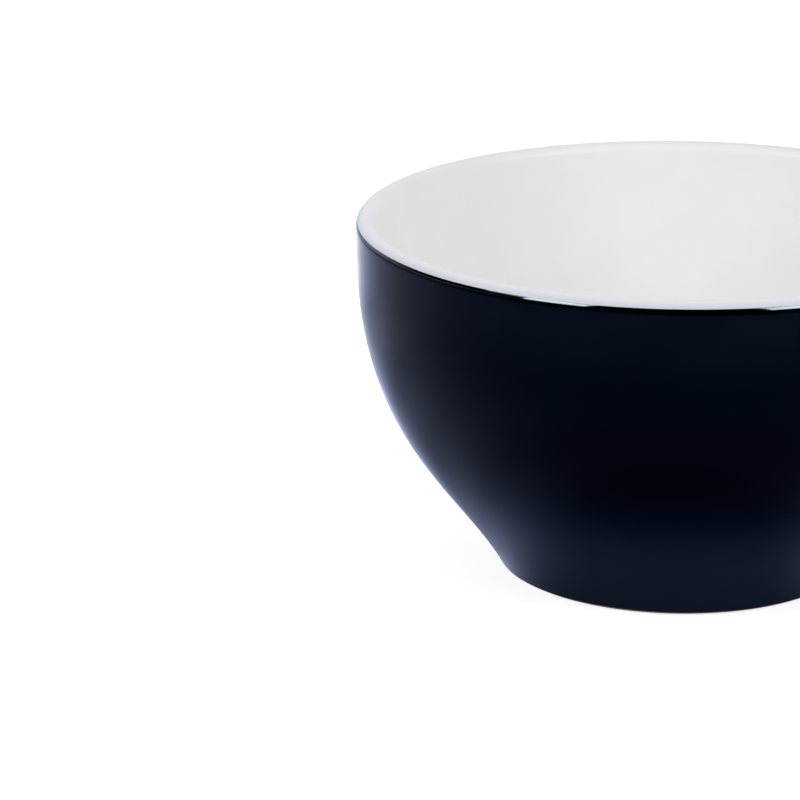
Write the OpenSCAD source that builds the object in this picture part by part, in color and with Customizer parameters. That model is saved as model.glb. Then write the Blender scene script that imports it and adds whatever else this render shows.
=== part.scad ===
// Handleless latte bowl: a fired stoneware body with a navy glaze outside and a white glaze
// inside and over the lip. Millimetres, origin at the middle of the foot's resting face, +Z up.
// The glazed surfaces are drawn as profiles of points that each know which way the clay lies, so
// the clay under a coat is the same profile moved in by the thickness of the coat.

/* [Overall] */
// Height from the resting face to the top of the lip
bowl_height = 66.5; // [56:0.5:80]
// Outside diameter at the lip, where the bowl is widest
rim_diameter = 120; // [116:0.5:132]

/* [Outside wall] */
// Lean of the wall outward from vertical where it leaves the foot, in degrees
foot_lean_angle = 29.5; // [20:0.5:42]
// Height of the shoulder, where the flared wall has turned up towards the lip
shoulder_height = 39; // [32:0.5:44]
// Outside diameter at the shoulder
shoulder_diameter = 114; // [104:0.5:116]
// Lean of the wall at the shoulder, in degrees
shoulder_lean_angle = 16.5; // [10:0.5:22]
// Lean of the wall just under the lip, in degrees
lip_lean_angle = 2; // [0:0.5:12]

/* [Lip] */
// Thickness of the lip, which is rounded to a full half circle
lip_thickness = 3.6; // [2.6:0.1:5]
// How far up the lip's rounding the navy ends and the white begins, in degrees from level
colour_line_angle = 26; // [10:1:60]

/* [Inside] */
// Thickness of the wall at the shoulder
shoulder_thickness = 5.1; // [3.8:0.1:6]
// Lean of the inside wall at the shoulder, in degrees
inside_shoulder_angle = 16; // [10:0.5:24]
// Lean of the inside wall just under the lip, in degrees
inside_lip_angle = 4; // [2:0.5:10]
// Thickness of the floor in the middle
floor_thickness = 6; // [4.5:0.1:9]

/* [Foot] */
// Outside diameter of the flat face that the bowl rests on
foot_diameter = 62.8; // [54:0.2:70]
// Width of that flat face
foot_face_width = 2.6; // [1.5:0.1:5]
// Radius that rounds the bare clay at both edges of the flat face
foot_edge_radius = 1.3; // [0.8:0.1:2]
// Depth of the well inside the foot ring
well_depth = 2.6; // [2.2:0.1:4]
// Lean of the well's side from vertical, in degrees
well_lean_angle = 25; // [5:1:40]
// Radius of the corner between the well's side and the underside
well_corner_radius = 1.4; // [0.8:0.1:1.6]

/* [Glaze] */
// Thickness of the glaze coats
glaze_thickness = 0.4; // [0.2:0.05:0.6]

/* [Smoothness] */
// Steps along each curved stretch of the wall
curve_steps = 24; // [12:1:40]
// Steps along each small rounding
round_steps = 8; // [4:1:16]

/* [Hidden] */
$fn = 180;

// Handles of each curve, at its lower and upper end, as shares of the distance between its ends:
// a longer handle keeps the wall closer to its lean at that end
flare_shares = [0.33, 0.42];
neck_shares = [0.42, 0.30];
inside_neck_shares = [0.33, 0.33];
// Reach of the level floor outward, as a share of the foot's radius, and the handle of the
// rounded inside at the shoulder, as a share of the shoulder's height above the floor
floor_reach_share = 1.02;
inside_turn_share = 0.72;

foot_radius = foot_diameter / 2;
lip_radius = lip_thickness / 2;
lip_centre = [rim_diameter / 2 - lip_radius, bowl_height - lip_radius];
shoulder_point = [shoulder_diameter / 2, shoulder_height];
floor_height = well_depth + floor_thickness;

// A profile is a list of [point, direction into the clay]. This moves it into the clay.
function moved_in(profile, depth) = [for (p = profile) p[0] + depth * p[1]];
function reversed(list) = [for (i = [len(list) - 1:-1:0]) list[i]];
function unit(v) = v / norm(v);

// Directions in the profile's plane: up along a wall that leans outward, and at an angle from level
function up_wall(lean) = [sin(lean), cos(lean)];
function towards(angle) = [cos(angle), sin(angle)];

// Point and slope of the curve with four control points
function curve_point(c, t) =
    pow(1 - t, 3) * c[0] + 3 * pow(1 - t, 2) * t * c[1]
    + 3 * (1 - t) * pow(t, 2) * c[2] + pow(t, 3) * c[3];
function curve_slope(c, t) =
    pow(1 - t, 2) * (c[1] - c[0]) + 2 * (1 - t) * t * (c[2] - c[1]) + pow(t, 2) * (c[3] - c[2]);

// Profile along a curve, with the clay to the left of the way it runs when side is 1, and to the
// right when side is -1
function curve_profile(c, side) = [
    for (i = [0:curve_steps])
        let (t = i / curve_steps, s = unit(curve_slope(c, t)))
            [curve_point(c, t), side * [-s[1], s[0]]]
];

// Profile along a convex rounding, whose centre lies in the clay
function round_profile(centre, radius, from_angle, to_angle) = [
    for (i = [0:round_steps])
        let (d = towards(from_angle + (to_angle - from_angle) * i / round_steps))
            [centre + radius * d, -d]
];

// Control points between two ends, each with the lean of the wall there
function wall_curve(low, low_lean, high, high_lean, shares) =
    let (span = norm(high - low)) [
        low,
        low + span * shares[0] * up_wall(low_lean),
        high - span * shares[1] * up_wall(high_lean),
        high
    ];

// Foot ring: the roundings of the bare clay at the flat face's two edges
outer_edge_centre = [foot_radius, foot_edge_radius];
inner_edge_centre = [foot_radius - foot_face_width, foot_edge_radius];
function foot_edge_points() = [
    for (p = round_profile(outer_edge_centre, foot_edge_radius, -foot_lean_angle, -90)) p[0],
    for (p = round_profile(inner_edge_centre, foot_edge_radius, -90, well_lean_angle - 180)) p[0]
];

// Outside: from the end of the glaze above the foot edge up to the colour line on the lip
foot_end = outer_edge_centre + (foot_edge_radius + glaze_thickness) * towards(-foot_lean_angle);
lip_start = lip_centre + lip_radius * towards(-lip_lean_angle);
function outside_profile() = concat(
    curve_profile(
        wall_curve(foot_end, foot_lean_angle, shoulder_point, shoulder_lean_angle, flare_shares), 1
    ),
    curve_profile(
        wall_curve(shoulder_point, shoulder_lean_angle, lip_start, lip_lean_angle, neck_shares), 1
    ),
    round_profile(lip_centre, lip_radius, -lip_lean_angle, 0),
    round_profile(lip_centre, lip_radius, 0, colour_line_angle)
);

// Inside: from the middle of the floor up the wall and over the lip to the colour line
inside_shoulder = shoulder_point + shoulder_thickness * towards(180 - shoulder_lean_angle);
inside_lip_end = lip_centre + lip_radius * towards(180 - inside_lip_angle);
function inside_profile() = concat(
    curve_profile(
        [
            [0, floor_height],
            [foot_radius * floor_reach_share, floor_height],
            inside_shoulder
                - (shoulder_height - floor_height) * inside_turn_share
                * up_wall(inside_shoulder_angle),
            inside_shoulder
        ],
        -1
    ),
    curve_profile(
        wall_curve(
            inside_shoulder, inside_shoulder_angle, inside_lip_end, inside_lip_angle,
            inside_neck_shares
        ),
        -1
    ),
    round_profile(lip_centre, lip_radius, 180 - inside_lip_angle, 90),
    round_profile(lip_centre, lip_radius, 90, colour_line_angle)
);

// Underside: from the end of the glaze above the foot edge up the well's side, round its corner
// and along the underside to the middle. The corner is hollow, so its centre lies outside the clay.
well_side_start =
    inner_edge_centre + (foot_edge_radius + glaze_thickness) * towards(well_lean_angle - 180);
well_side_length =
    (well_depth - well_corner_radius - well_side_start[1] + well_corner_radius * sin(well_lean_angle))
    / cos(well_lean_angle);
well_side_end = well_side_start + well_side_length * up_wall(-well_lean_angle);
well_corner_centre = well_side_end - well_corner_radius * towards(well_lean_angle);
function well_profile() = concat(
    [[well_side_start, towards(well_lean_angle)]],
    [
        for (i = [0:round_steps])
            let (d = towards(well_lean_angle + (90 - well_lean_angle) * i / round_steps))
                [well_corner_centre + well_corner_radius * d, d]
    ],
    [[[0, well_depth], towards(90)]]
);

// A glaze coat: the glazed surface on one side and the clay's surface on the other
module coat(profile) {
    rotate_extrude()
        polygon(concat(moved_in(profile, 0), reversed(moved_in(profile, glaze_thickness))));
}

module clay_body() {
    color([0.62, 0.55, 0.48])
        rotate_extrude()
            polygon(
                concat(
                    moved_in(inside_profile(), glaze_thickness),
                    reversed(moved_in(outside_profile(), glaze_thickness)),
                    foot_edge_points(),
                    moved_in(well_profile(), glaze_thickness)
                )
            );
}

module outer_glaze() {
    color([0.07, 0.10, 0.17])
        coat(outside_profile());
}

module inner_glaze() {
    color([0.91, 0.91, 0.92])
        coat(inside_profile());
}

module foot_well_glaze() {
    color([0.07, 0.10, 0.17])
        coat(well_profile());
}

clay_body();
outer_glaze();
inner_glaze();
foot_well_glaze();
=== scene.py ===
"""Handleless latte bowl: navy glaze outside, white glaze inside and over the lip, on a bare foot ring.

Every piece is a body of turning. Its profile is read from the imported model, so it has the model's
sizes, and it is turned again finely, with what a fired pot adds: rolled edges on the coats of glaze,
lines that wander a little, and faint waves in the surface.
"""

import math

import bmesh
import bpy
import numpy as np
from mathutils import Matrix, Vector


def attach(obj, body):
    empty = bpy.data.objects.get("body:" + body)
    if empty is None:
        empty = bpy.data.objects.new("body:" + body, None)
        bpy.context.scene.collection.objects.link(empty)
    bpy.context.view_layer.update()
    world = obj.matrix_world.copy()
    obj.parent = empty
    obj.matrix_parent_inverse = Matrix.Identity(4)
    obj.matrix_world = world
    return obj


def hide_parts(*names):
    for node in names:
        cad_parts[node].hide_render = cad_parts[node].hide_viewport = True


MM = 0.001

# The photograph's camera, found from the outlines of the rim, the foot and the left wall
CAMERA_PLACE = Vector((0.04, -767.06, 265.85)) * MM
CAMERA_RIGHT = Vector((0.99771, 0.06764, 0))
CAMERA_UP = Vector((-0.01985, 0.29280, 0.95597))
CAMERA_LENS = 193.04
CAMERA_SENSOR = 36

# How finely the pieces are turned, how far apart the points of a coat's profile lie, and how many of
# the surface's points there are to one on the coat's hidden side
TURN_STEPS = 400
WALL_STEP = 0.65 * MM
HIDDEN_SKIP = 4
# Points on a coat's rolled edge, and how far apart the points lie on the smooth path that coats follow
ROLL_STEPS = 6
PATH_STEP = 0.05 * MM
# Points nearer than WELD become one, faces thinner than FLAT go, and a coat's points that are nearer to
# the clay than ON_CLAY lie on it
WELD = 1e-7
FLAT = 1e-8
ON_CLAY = 0.02 * MM

# Glaze: how deep the hidden side of a coat sinks into the clay, and the rolled edges of the coats
COAT_SINK = 0.05 * MM
LINE_ROLL = 0.04 * MM
FOOT_ROLL = 0.28 * MM
# How far the colour line and the glaze's edge at the foot wander along the surface, how many times each
# wave in their wander goes round the bowl, and a wave's least height as a share of its greatest
LINE_WANDER = 0.10 * MM
FOOT_WANDER = 0.16 * MM
LINE_WAVES = (2, 3, 5, 9)
FOOT_WAVES = (2, 3, 5, 9, 14)
LEAST_WAVE = 0.4
# Height of the glossy bead under the colour line, and how many rows of faces it has
BEAD_HEIGHT = 0.58 * MM
BEAD_STEPS = 3
# Where the navy changes colour: the heights over which it darkens from its palest and from blue above
# the foot, and the distances under the colour line over which it turns black, a painted dark reflection,
# and pales with a painted sheen
PALE_FOOT = (9 * MM, 25 * MM)
BLUE_FOOT = (15 * MM, 34 * MM)
BLACK_UNDER_LINE = (1.10 * MM, 1.35 * MM)
PALE_UNDER_LINE = (3 * MM, 17 * MM)
# The distances inside the colour line over which the white turns bluer, and how far above the line the
# navy has bled into it
BLUE_INSIDE_LINE = (0.4 * MM, 2.6 * MM)
BLEED_REACH = 1.1 * MM
# Most of what the noise in a colour or a gloss gives lies between these
NOISE_SPAN = (0.3, 0.7)
# The faint waves that the glazed surface has: their depth, how many go round the bowl with the length
# of each along the wall in millimetres, and how much longer those are that lean the other way
WAVE_DEPTH = 0.03 * MM
SKIN_WAVES = ((1, 31), (2, 23), (3, 17), (5, 13), (7, 11))
BACK_WAVE = 1.7
# Seeds of the random draws
LINE_SEED = 3
FOOT_SEED = 5
WELL_SEED = 7
SKIN_SEED = 11
WELL_SKIN_SEED = 13

# The floor in reflections. Its shade is round a point in front of the bowl's axis, and fades between
# two distances from there. In front of a soft edge the floor is painted dark in reflections.
SHADE_AHEAD = 45 * MM
SHADE_FADE = (20 * MM, 92 * MM)
DARK_FRONT_EDGE = (-0.44, -0.28)
FLOOR_REACH = 3.0
# The distances from that point over which the floor's glow changes: it falls by the foot, goes from the
# nearest glow to the next and from near to far, rises far behind the bowl, and fades
FOOT_FALL = (36 * MM, 58 * MM)
NEAREST_TO_NEXT = (75 * MM, 115 * MM)
NEAR_TO_FAR = (130 * MM, 200 * MM)
RISE_BEHIND = (215 * MM, 265 * MM)
FAR_FADE = (290 * MM, 400 * MM)

# The lamps: the point that they face and their distance from it. Of each kind also the angles of the
# left and the right one from straight in front, the angle above level, the size and the light.
LAMP_AIM = Vector((0, 0, 50)) * MM
LAMP_AWAY = 0.85
SOFT_TURNS, SOFT_RAISE = (-54, 54), 30
SOFT_SIZE, SOFT_POWER, SOFT_COLOUR = (0.46, 0.24), 2.45, (0.975, 0.98, 1.0)
EDGE_TURNS, EDGE_RAISE = (-42, 41), 20
EDGE_SIZE, EDGE_POWER, EDGE_COLOUR = (0.33, 0.40), 7.5, (0.84, 0.92, 1.0)

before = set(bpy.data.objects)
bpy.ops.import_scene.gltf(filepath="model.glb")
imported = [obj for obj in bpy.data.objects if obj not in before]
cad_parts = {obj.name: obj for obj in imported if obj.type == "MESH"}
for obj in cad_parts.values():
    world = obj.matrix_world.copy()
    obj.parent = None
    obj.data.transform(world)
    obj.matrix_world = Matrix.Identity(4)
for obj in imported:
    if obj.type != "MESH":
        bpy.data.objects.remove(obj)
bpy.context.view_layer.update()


def profile_ring(node):
    """The node's profile: the points (radius, height) where its mesh meets the plane y = 0, in order."""
    bm = bmesh.new()
    bm.from_mesh(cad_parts[node].data)
    bmesh.ops.remove_doubles(bm, verts=bm.verts, dist=WELD)
    bmesh.ops.bisect_plane(
        bm,
        geom=bm.verts[:] + bm.edges[:] + bm.faces[:],
        dist=WELD,
        plane_co=(0, 0, 0),
        plane_no=(0, 1, 0),
        clear_inner=True,
        clear_outer=True,
    )
    start = max(bm.verts, key=lambda v: v.co.x)
    ring, last, here = [], None, start
    while here is not None:
        ring.append((here.co.x, here.co.z))
        ahead = [e.other_vert(here) for e in here.link_edges]
        ahead = [v for v in ahead if v is not last]
        last, here = here, (ahead[0] if ahead else None)
        if here is start:
            break
    bm.free()
    return np.array(ring)


def longest_run(points, keep):
    """The longest unbroken run of the ring's points that keep says to keep."""
    best, run = [], []
    for point, wanted in list(zip(points, keep)) * 2:
        run = run + [point] if wanted else []
        best = run if len(best) < len(run) <= len(points) else best
    return np.array(best)


def lengths_along(path):
    return np.concatenate([[0], np.cumsum(np.linalg.norm(np.diff(path, axis=0), axis=1))])


def smoothed(path, step):
    """The path through the same points as a smooth curve, with points about a step apart."""
    along = lengths_along(path)
    slope = np.gradient(path, along, axis=0)
    wanted = np.linspace(0, along[-1], int(math.ceil(along[-1] / step)) + 1)
    i = np.clip(np.searchsorted(along, wanted, side="right") - 1, 0, len(path) - 2)
    gap = (along[i + 1] - along[i])[:, None]
    t = (wanted - along[i])[:, None] / gap
    return (
        (2 * t**3 - 3 * t**2 + 1) * path[i]
        + (t**3 - 2 * t**2 + t) * gap * slope[i]
        + (3 * t**2 - 2 * t**3) * path[i + 1]
        + (t**3 - t**2) * gap * slope[i + 1]
    )


clay_ring = profile_ring("clay_body")


def glazed_path(node, outward):
    """The side of a coat that shows, outward or towards the axis: the points of its profile that don't lie
    on the clay."""
    ring = profile_ring(node)
    gap = np.linalg.norm(ring[:, None] - clay_ring[None], axis=2).min(axis=1)
    path = longest_run(ring, (gap > ON_CLAY) & (ring[:, 0] > -ON_CLAY))
    return path if (path[0, 0] < path[-1, 0]) == outward else path[::-1]


class Skin:
    """A glazed surface as a path that can be asked for a point at a length along it and at a depth."""

    def __init__(self, path, clay_side):
        fine = smoothed(path, PATH_STEP)
        self.path = fine
        self.along = lengths_along(fine)
        slope = np.gradient(fine, self.along, axis=0)
        slope /= np.linalg.norm(slope, axis=1)[:, None]
        self.inward = clay_side * np.stack([-slope[:, 1], slope[:, 0]], axis=1)
        self.length = self.along[-1]

    def _read(self, values, along):
        return np.stack([np.interp(along, self.along, values[:, k]) for k in (0, 1)], axis=-1)

    def at(self, along, depth):
        """Points (radius, height) at these lengths along the path and depths below the surface."""
        return self._read(self.path, along) + np.asarray(depth)[..., None] * self._read(self.inward, along)


turn = np.arange(TURN_STEPS) * 2 * math.pi / TURN_STEPS


def wander(seed, waves, most):
    """A smooth line round the bowl between -most and most, from a few seeded waves."""
    rng = np.random.default_rng(seed)
    line = np.zeros(TURN_STEPS)
    for rounds in waves:
        height = rng.uniform(LEAST_WAVE, 1) / rounds**0.5
        line += height * np.sin(rounds * turn + rng.uniform(0, 2 * math.pi))
    return most * line / np.abs(line).max()


def surface_wave(along, seed):
    """Depth of the faint waves at each turn and length along a path, from 0 to 1."""
    rng = np.random.default_rng(seed)
    total = np.zeros(along.shape)
    for rounds, length in SKIN_WAVES:
        phase, drift = rng.uniform(0, 2 * math.pi, 2)
        total += np.sin(rounds * turn[:, None] + 2 * math.pi * along / (length * MM) + phase)
        total += np.sin(rounds * turn[:, None] - 2 * math.pi * along / (length * BACK_WAVE * MM) + drift)
    return 0.5 + 0.5 * np.clip(total / len(SKIN_WAVES), -1, 1)


def rolled_edge(roll, thickness, at_end):
    """A coat's edge as (length from the edge, depth): an arc from the surface, then down to the clay."""
    angle = np.linspace(0, math.pi / 2, ROLL_STEPS)
    back = roll * (1 - np.sin(angle))
    down = roll * (1 - np.cos(angle))
    edge = list(zip(back, down)) + [(0, thickness + COAT_SINK)]
    return edge if at_end else edge[::-1]


def coat_rows(skin, start, end, thickness, start_roll, end_roll, seed, end_band=0):
    """Points (radius, height) of a coat for each turn: over its surface, round its edges and back inside.
    Also says of each row whether the strip of faces after it lies in the band before the end edge."""
    steps = HIDDEN_SKIP * int(math.ceil((end - start).mean() / WALL_STEP / HIDDEN_SKIP))
    share = np.linspace(0, 1, steps + 1)
    # Each row: which share of the coat's length, the length added to that, and the depth
    rows = []
    if start_roll:
        rows += [(0, back, down) for back, down in rolled_edge(start_roll, thickness, False)]
    rows += [(s, start_roll * (1 - s) - max(end_roll, end_band) * s, 0) for s in share]
    if end_band:
        rows += [(1, -back, 0) for back in np.linspace(end_band, end_roll, BEAD_STEPS + 1)[1:-1]]
    if end_roll:
        rows += [(1, -back, down) for back, down in rolled_edge(end_roll, thickness, True)]
    rows += [(s, 0, thickness + COAT_SINK) for s in share[::-HIDDEN_SKIP]]
    share, added, depth = np.array(rows).T
    along = start[:, None] + (end - start)[:, None] * share + added
    on_surface = np.clip(1 - depth / thickness, 0, 1)
    depth = depth + WAVE_DEPTH * surface_wave(along, seed) * on_surface
    return skin.at(along, depth), (share == 1) & (np.roll(share, -1) == 1)


def turned(name, rows, materials, node, second=None):
    """A closed mesh from one closed profile for each turn. Points on the axis become one. The strips of
    faces that second marks have the second material."""
    turns, count = rows.shape[:2]
    radius, height = rows[..., 0], rows[..., 1]
    places = np.stack([radius * np.cos(turn)[:, None], radius * np.sin(turn)[:, None], height], axis=-1)
    index = np.arange(turns * count).reshape(turns, count)
    ahead, above = np.roll(index, -1, axis=0), np.roll(index, -1, axis=1)
    faces = np.stack([index, ahead, np.roll(ahead, -1, axis=1), above], axis=-1).reshape(-1, 4)
    mesh = bpy.data.meshes.new(name)
    mesh.from_pydata(places.reshape(-1, 3).tolist(), [], faces.tolist())
    for material in materials:
        mesh.materials.append(material)
    if second is not None:
        mesh.polygons.foreach_set("material_index", np.tile(second, turns).astype(np.int32))
    bm = bmesh.new()
    bm.from_mesh(mesh)
    bmesh.ops.remove_doubles(bm, verts=bm.verts, dist=WELD)
    bmesh.ops.dissolve_degenerate(bm, edges=bm.edges, dist=FLAT)
    bmesh.ops.recalc_face_normals(bm, faces=bm.faces)
    for face in bm.faces:
        face.smooth = True
    bm.to_mesh(mesh)
    bm.free()
    piece = bpy.data.objects.new(name, mesh)
    bpy.context.scene.collection.objects.link(piece)
    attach(piece, "root")
    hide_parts(node)


class Nodes:
    """Short calls to build a shader. A node's input is a value or another node's output."""

    def __init__(self, owner):
        owner.use_nodes = True
        self.tree = owner.node_tree
        self.tree.nodes.clear()

    def add(self, kind, inputs=None, **settings):
        node = self.tree.nodes.new(kind)
        for key, value in settings.items():
            setattr(node, key, value)
        for key, value in (inputs or {}).items():
            if isinstance(value, bpy.types.NodeSocket):
                self.tree.links.new(value, node.inputs[key])
            else:
                node.inputs[key].default_value = value
        return node

    def math(self, operation, *values):
        return self.add("ShaderNodeMath", dict(enumerate(values)), operation=operation).outputs[0]

    def vector_math(self, operation, *values):
        return self.add("ShaderNodeVectorMath", dict(enumerate(values)), operation=operation).outputs

    def mix(self, share, first, second):
        """Colour between first and second, which are the mix node's inputs 6 and 7."""
        return self.add("ShaderNodeMix", {0: share, 6: first, 7: second}, data_type="RGBA").outputs[2]

    def ramp(self, value, low, high, to_low, to_high):
        """Goes smoothly from to_low to to_high while the value goes from low to high."""
        node = self.add(
            "ShaderNodeMapRange",
            {"Value": value, "From Min": low, "From Max": high, "To Min": to_low, "To Max": to_high},
            interpolation_type="SMOOTHSTEP",
        )
        return node.outputs["Result"]

    def place(self):
        return self.add("ShaderNodeTexCoord").outputs["Object"]

    def height(self):
        return self.add("ShaderNodeSeparateXYZ", {"Vector": self.place()}).outputs["Z"]

    def radius(self):
        """Distance from the bowl's axis."""
        level = self.vector_math("MULTIPLY", self.place(), (1, 1, 0))["Vector"]
        return self.vector_math("LENGTH", level)["Value"]

    def noise(self, size, detail, roughness=0.5):
        """Noise whose lumps are about size metres across."""
        node = self.add(
            "ShaderNodeTexNoise",
            {"Vector": self.place(), "Scale": 1 / size, "Detail": detail, "Roughness": roughness},
        )
        return node.outputs["Fac"]

    def patches(self, low, high, size, detail):
        """Goes from low to high and back in patches about size metres across."""
        return self.ramp(self.noise(size, detail), *NOISE_SPAN, low, high)

    def bump(self, heights):
        """Bumps from (height socket, depth in metres) pairs."""
        normal = None
        for value, depth in heights:
            inputs = {"Height": value, "Strength": 1.0, "Distance": depth}
            if normal is not None:
                inputs["Normal"] = normal
            normal = self.add("ShaderNodeBump", inputs).outputs["Normal"]
        return normal

    def rays(self):
        """Whether a ray goes to the camera, and whether it is seen in a gloss."""
        kinds = self.add("ShaderNodeLightPath").outputs
        in_gloss = self.math("MAXIMUM", kinds["Is Glossy Ray"], kinds["Is Transmission Ray"])
        return kinds["Is Camera Ray"], in_gloss

    def surface(self, colour, roughness, specular, bumps, tint=(1, 1, 1, 1)):
        """Finish a material with this colour, gloss and bumps."""
        inputs = {
            "Base Color": colour,
            "Roughness": roughness,
            "Specular IOR Level": specular,
            "Specular Tint": tint,
            "Normal": self.bump(bumps),
        }
        self.finish(self.add("ShaderNodeBsdfPrincipled", inputs).outputs["BSDF"])

    def finish(self, shader, kind="ShaderNodeOutputMaterial"):
        self.add(kind, {"Surface": shader})


def new_material(name):
    material = bpy.data.materials.new(name)
    return material, Nodes(material)


def grey(value):
    return (value, value, value, 1)


def navy_glaze(line_height):
    """Near-black navy, satin: cloudy, paler and bluer towards the foot, with fine orange peel. Its paler
    tone below the lip is a painted sheen, and the black right under the colour line, which is at this
    height, is a painted dark reflection."""
    material, n = new_material("navy_glaze")
    clouds = n.ramp(n.noise(size=18 * MM, detail=3), 0.35, 0.65, 0, 1)
    colour = n.mix(clouds, (0.0001, 0.0001, 0.0013, 1), (0.0001, 0.0002, 0.0018, 1))
    colour = n.mix(n.ramp(n.height(), *BLUE_FOOT, 1, 0), colour, (0.0001, 0.0028, 0.0120, 1))
    colour = n.mix(n.ramp(n.height(), *PALE_FOOT, 1, 0), colour, (0.0076, 0.0119, 0.0230, 1))
    under_line = n.math("SUBTRACT", line_height, n.height())
    # Painted sheen: the navy is paler below the lip.
    painted_lip_sheen = n.mix(clouds, (0.0014, 0.0020, 0.0046, 1), (0.0025, 0.0034, 0.0070, 1))
    colour = n.mix(n.ramp(under_line, *PALE_UNDER_LINE, 1, 0), colour, painted_lip_sheen)
    # Painted dark reflection: black right under the colour line.
    colour = n.mix(n.ramp(under_line, *BLACK_UNDER_LINE, 1, 0), colour, (0, 0, 0, 1))
    n.surface(
        colour,
        roughness=n.patches(0.14, 0.19, size=6 * MM, detail=4),
        specular=0.028,
        tint=(0.14, 0.50, 0.90, 1),
        bumps=[
            (n.noise(size=5 * MM, detail=2), 0.010 * MM),
            (n.noise(size=0.9 * MM, detail=2), 0.0012 * MM),
        ],
    )
    return material


def bead_glaze():
    """Black and glossy: the bead right under the colour line, whose black is a painted dark reflection."""
    material, n = new_material("navy_glaze_bead")
    n.surface(
        n.mix(n.patches(0, 1, size=4 * MM, detail=2), (0, 0, 0, 1), (0.0003, 0.0003, 0.0008, 1)),
        roughness=n.patches(0.055, 0.075, size=6 * MM, detail=4),
        specular=0.5,
        bumps=[(n.noise(size=5 * MM, detail=2), 0.010 * MM)],
    )
    return material


def white_glaze(line_radius, line_height):
    """White gloss glaze with a faint mottle and a smooth, slightly uneven skin, a little darker and bluer
    over the lip. Some of the navy has bled into it above the colour line, at this radius and height."""
    material, n = new_material("white_glaze")
    mottle = n.patches(0, 1, size=14 * MM, detail=3)
    colour = n.mix(mottle, (0.908, 0.900, 0.902, 1), (0.932, 0.924, 0.922, 1))
    inside_line = n.math("SUBTRACT", line_radius, n.radius())
    colour = n.mix(n.ramp(inside_line, *BLUE_INSIDE_LINE, 1, 0), colour, (0.850, 0.856, 0.880, 1))
    bled = n.ramp(n.height(), line_height, line_height + BLEED_REACH, 1, 0)
    on_outside = n.ramp(inside_line, 0.5 * BLEED_REACH, 1.5 * BLEED_REACH, 1, 0)
    colour = n.mix(n.math("MULTIPLY", bled, on_outside), colour, (0.64, 0.66, 0.71, 1))
    n.surface(
        colour,
        roughness=n.patches(0.28, 0.34, size=8 * MM, detail=3),
        specular=0.2,
        bumps=[
            (n.noise(size=7 * MM, detail=2), 0.012 * MM),
            (n.noise(size=1.2 * MM, detail=2), 0.001 * MM),
        ],
    )
    return material


def bare_clay():
    """Unglazed fired stoneware: matt, sandy, with darker iron specks."""
    material, n = new_material("bare_clay")
    body = n.mix(n.patches(0, 1, size=3 * MM, detail=4), (0.30, 0.235, 0.18, 1), (0.38, 0.30, 0.23, 1))
    specks = n.ramp(n.noise(size=0.5 * MM, detail=1), 0.66, 0.74, 0, 1)
    n.surface(
        n.mix(specks, body, (0.10, 0.07, 0.05, 1)),
        roughness=n.patches(0.75, 0.92, size=2 * MM, detail=3),
        specular=0.3,
        bumps=[(n.noise(size=0.45 * MM, detail=4, roughness=0.65), 0.05 * MM)],
    )
    return material


def build_bowl():
    outside = glazed_path("outer_glaze", True)
    inside = glazed_path("inner_glaze", False)
    under = glazed_path("foot_well_glaze", False)
    for path in (inside, under):
        path[-1, 0] = 0
    navy, white, clay = navy_glaze(outside[-1, 1]), white_glaze(*outside[-1]), bare_clay()
    thickness = np.linalg.norm(clay_ring - outside[-1], axis=1).min()

    # One surface from the edge above the foot over the lip to the middle of the floor
    glazed = Skin(np.vstack([outside, inside[1:]]), 1)
    middle = np.full(TURN_STEPS, glazed.length)
    line = lengths_along(outside)[-1] + wander(LINE_SEED, LINE_WAVES, LINE_WANDER)
    foot_line = np.abs(wander(FOOT_SEED, FOOT_WAVES, FOOT_WANDER))
    rows, bead = coat_rows(glazed, foot_line, line, thickness, FOOT_ROLL, LINE_ROLL, SKIN_SEED, BEAD_HEIGHT)
    turned("outer_glaze_coat", rows, [navy, bead_glaze()], "outer_glaze", bead)
    rows, _ = coat_rows(glazed, line, middle, thickness, LINE_ROLL, 0, SKIN_SEED)
    turned("inner_glaze_coat", rows, [white], "inner_glaze")

    # The underside from the edge above the foot to its middle
    well = Skin(under, -1)
    well_middle = np.full(TURN_STEPS, well.length)
    well_line = np.abs(wander(WELL_SEED, FOOT_WAVES, FOOT_WANDER))
    rows, _ = coat_rows(well, well_line, well_middle, thickness, FOOT_ROLL, 0, WELL_SKIN_SEED)
    turned("foot_well_glaze_coat", rows, [navy], "foot_well_glaze")

    ring = clay_ring[clay_ring[:, 0] > -WELD]
    turned("clay_body_turned", np.repeat(ring[None], TURN_STEPS, axis=0), [clay], "clay_body")


def floor_glow(n, reach, forward):
    """Colour of the floor in reflections, by the distance from its shade's middle and by the direction
    from the bowl: behind is the sine of the angle from straight beside the bowl towards its back."""
    from_axis = n.vector_math("LENGTH", n.place())["Value"]
    behind = n.math("DIVIDE", forward, from_axis)

    far_beside = n.ramp(behind, -0.3, 0.1, 1.0, 1.32)
    far_behind = n.ramp(reach, *RISE_BEHIND, 0.78, 1.5)
    far = n.mix(n.ramp(behind, 0.4, 0.7, 0, 1), far_beside, far_behind)
    far = n.math("MULTIPLY", far, n.ramp(reach, *FAR_FADE, 1, 0.2))
    tint = n.mix(n.ramp(behind, 0.6, 0.9, 0, 1), (0.99, 1.06, 1.48, 1), (1.09, 1.11, 1.39, 1))
    far = n.vector_math("MULTIPLY", far, tint)["Vector"]

    by_the_foot = n.ramp(reach, *FOOT_FALL, 4.4, 2.0)
    nearest = n.ramp(behind, -0.4, 0.15, by_the_foot, 0.56)
    next_nearest = n.ramp(behind, -0.12, 0.33, 1.8, 1.03)
    near = n.mix(n.ramp(reach, *NEAREST_TO_NEXT, 0, 1), nearest, next_nearest)
    near = n.mix(n.ramp(behind, 0.4, 0.75, 0, 1), near, grey(1.6))
    near = n.vector_math("MULTIPLY", near, (0.60, 0.68, 1.02))["Vector"]
    return n.mix(n.ramp(reach, *NEAR_TO_FAR, 0, 1), near, far)


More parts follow.
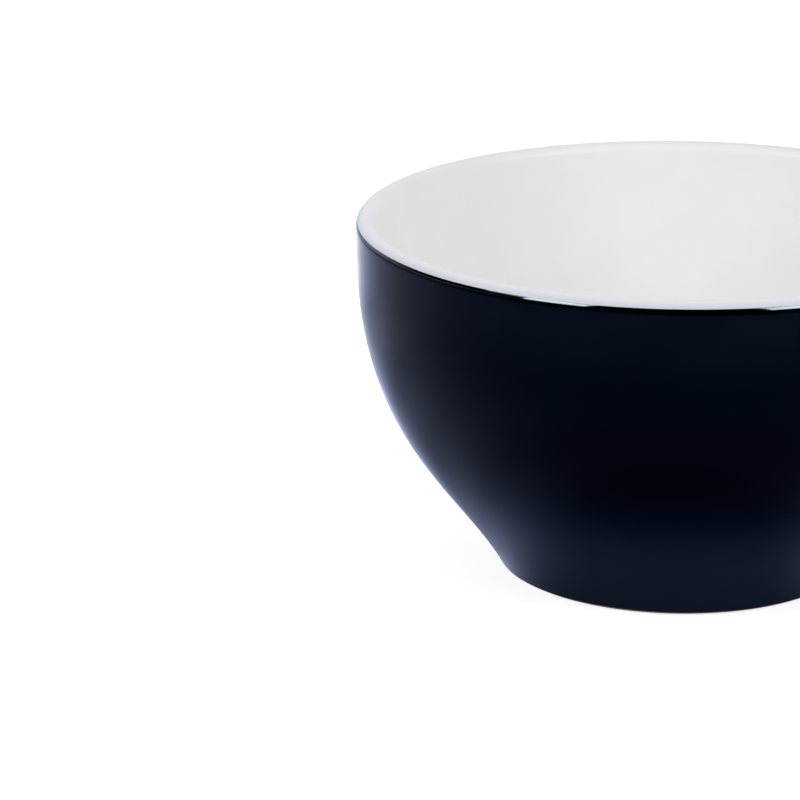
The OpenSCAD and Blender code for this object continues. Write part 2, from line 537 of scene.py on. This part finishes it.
def build_floor():
    """A white floor, brighter to the camera and in reflections than in the light that it gives back, so it
    is white and still shows the bowl's shadow."""
    mesh = bpy.data.meshes.new("floor")
    corners = [(x * FLOOR_REACH, y * FLOOR_REACH, 0) for x, y in ((-1, -1), (1, -1), (1, 1), (-1, 1))]
    mesh.from_pydata(corners, [], [(0, 1, 2, 3)])
    floor = bpy.data.objects.new("floor", mesh)
    bpy.context.scene.collection.objects.link(floor)

    material, n = new_material("floor")
    mesh.materials.append(material)
    to_camera, in_gloss = n.rays()
    to_eye = n.add("ShaderNodeEmission", {"Color": grey(0.74), "Strength": to_camera})
    from_shade = n.vector_math("ADD", n.place(), (0, SHADE_AHEAD, 0))["Vector"]
    reach = n.vector_math("LENGTH", from_shade)["Value"]
    out_of_shade = n.ramp(reach, *SHADE_FADE, 0, 1)
    forward = n.add("ShaderNodeSeparateXYZ", {"Vector": n.place()}).outputs["Y"]
    # Painted dark reflection: in front of a soft edge the floor is dark in reflections.
    behind_dark_front = n.ramp(forward, *DARK_FRONT_EDGE, 0, 1)
    strength = n.math("MULTIPLY", n.math("MULTIPLY", in_gloss, out_of_shade), behind_dark_front)
    glow = floor_glow(n, reach, forward)
    to_gloss = n.add("ShaderNodeEmission", {"Color": glow, "Strength": strength})
    gloss_paint = n.mix(behind_dark_front, grey(0.02), (0.34, 0.43, 0.65, 1))
    paint = n.mix(in_gloss, (0.78, 0.84, 0.96, 1), gloss_paint)
    paint = n.mix(to_camera, paint, grey(0.60))
    shader = n.add("ShaderNodeBsdfDiffuse", {"Color": paint})
    for light in (to_eye, to_gloss):
        shader = n.add("ShaderNodeAddShader", {0: shader.outputs[0], 1: light.outputs[0]})
    n.finish(shader.outputs[0])


def build_room():
    """White surroundings to the camera. They light the bowl from all sides and least from above, and in
    reflections they are bright behind the bowl and dark in front."""
    world = bpy.data.worlds.new("surroundings")
    bpy.context.scene.world = world
    n = Nodes(world)
    to_camera, in_gloss = n.rays()
    direction = n.add("ShaderNodeTexCoord").outputs["Generated"]
    direction = n.add("ShaderNodeSeparateXYZ", {"Vector": direction}).outputs
    seen = n.mix(n.ramp(direction["Y"], 0.15, 0.8, 0, 1), (0.008, 0.008, 0.010, 1), (1.05, 1.08, 1.20, 1))
    around = n.mix(n.ramp(direction["Y"], 0.2, 0.8, 0, 1), grey(0.54), grey(0.90))
    lighting = n.mix(n.ramp(direction["Z"], 0.45, 0.85, 0, 1), around, grey(0.36))
    colour = n.mix(in_gloss, lighting, seen)
    colour = n.mix(to_camera, colour, grey(1))
    background = n.add("ShaderNodeBackground", {"Color": colour, "Strength": 1.0})
    n.finish(background.outputs[0], "ShaderNodeOutputWorld")


def lamp(name, turned_by, raised_by, size, power, colour):
    """A rectangular area light that faces the bowl. It stands turned_by degrees to the right of straight in
    front and raised_by degrees above level."""
    light = bpy.data.lights.new(name, "AREA")
    light.shape = "RECTANGLE"
    light.size, light.size_y = size
    light.energy = power
    light.color = colour
    side, up = math.radians(turned_by), math.radians(raised_by)
    away = Vector((math.sin(side) * math.cos(up), -math.cos(side) * math.cos(up), math.sin(up)))
    piece = bpy.data.objects.new(name, light)
    piece.location = LAMP_AIM + LAMP_AWAY * away
    piece.rotation_euler = (-away).to_track_quat("-Z", "Y").to_euler()
    bpy.context.scene.collection.objects.link(piece)
    return piece


def build_lights():
    """Two softboxes light the bowl. Two edge lamps light the outer coat alone, and only its gloss."""
    for side, turned_by in zip(("left", "right"), SOFT_TURNS):
        lamp(side + "_softbox", turned_by, SOFT_RAISE, SOFT_SIZE, SOFT_POWER, SOFT_COLOUR)
    navy_only = bpy.data.collections.new("lit_by_edge_lamps")
    navy_only.objects.link(bpy.data.objects["outer_glaze_coat"])
    for side, turned_by in zip(("left", "right"), EDGE_TURNS):
        edge_lamp = lamp(side + "_edge_lamp", turned_by, EDGE_RAISE, EDGE_SIZE, EDGE_POWER, EDGE_COLOUR)
        edge_lamp.visible_diffuse = False
        edge_lamp.light_linking.receiver_collection = navy_only


def build_camera():
    data = bpy.data.cameras.new("camera")
    data.sensor_width = CAMERA_SENSOR
    data.lens = CAMERA_LENS
    camera = bpy.data.objects.new("camera", data)
    right = CAMERA_RIGHT.normalized()
    back = right.cross(CAMERA_UP).normalized()
    up = back.cross(right)
    camera.matrix_world = Matrix(
        (
            (right.x, up.x, back.x, CAMERA_PLACE.x),
            (right.y, up.y, back.y, CAMERA_PLACE.y),
            (right.z, up.z, back.z, CAMERA_PLACE.z),
            (0, 0, 0, 1),
        )
    )
    bpy.context.scene.collection.objects.link(camera)
    bpy.context.scene.camera = camera


build_bowl()
build_floor()
build_room()
build_lights()
build_camera()
bpy.context.scene.view_settings.view_transform = "Standard"
